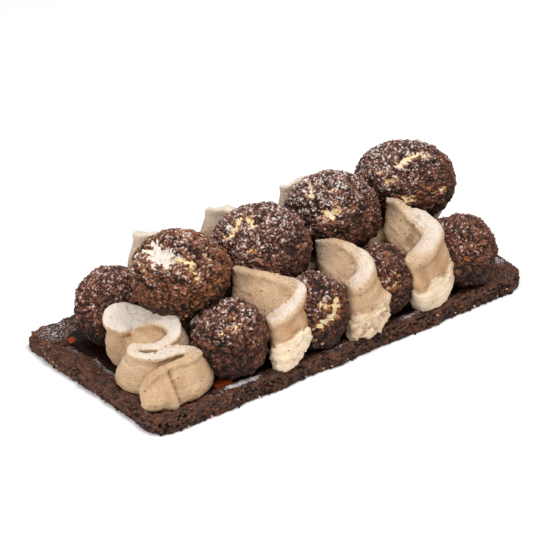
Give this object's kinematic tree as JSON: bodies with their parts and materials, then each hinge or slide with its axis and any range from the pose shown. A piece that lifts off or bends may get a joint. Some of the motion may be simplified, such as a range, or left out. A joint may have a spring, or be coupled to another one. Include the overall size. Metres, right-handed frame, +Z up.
{
  "type": "cream puff cake",
  "caption": "Rectangular cocoa shortbread with caramel, crackled cocoa choux puffs in three rows dusted with icing sugar, and folded ribbons of piped light chocolate cream between them.",
  "frame": {"origin": "centre of the underside, on the surface that the cake stands on", "axes": "+X along the length towards the right end of the picture's near side, +Y across the width away from that side, +Z up"},
  "size_m": [0.2326, 0.1101, 0.0668],
  "materials": {
    "cocoa_shortbread": "dry baked cocoa crumb, matte",
    "caramel": "poured and set, glossy",
    "craquelin_choux": "baked crackled sugar crust with icing sugar, matte",
    "chocolate_cream": "whipped and piped, soft satin"
  },
  "bodies": {
    "root": {"base": "cocoa_shortbread", "caramel": "caramel", "cream_bed": "chocolate_cream", "puff_large_1": "craquelin_choux", "puff_large_2": "craquelin_choux", "puff_large_3": "craquelin_choux", "puff_large_4": "craquelin_choux", "puff_front_1": "craquelin_choux", "puff_front_2": "craquelin_choux", "puff_front_3": "craquelin_choux", "puff_front_4": "craquelin_choux", "puff_back_1": "craquelin_choux", "puff_back_2": "craquelin_choux", "puff_back_3": "craquelin_choux", "puff_back_4": "craquelin_choux", "cream_front_1": "chocolate_cream", "cream_front_2": "chocolate_cream", "cream_front_3": "chocolate_cream", "cream_front_4": "chocolate_cream", "cream_back_1": "chocolate_cream", "cream_back_2": "chocolate_cream", "cream_back_3": "chocolate_cream", "cream_back_4": "chocolate_cream"}
  },
  "joints": []
}
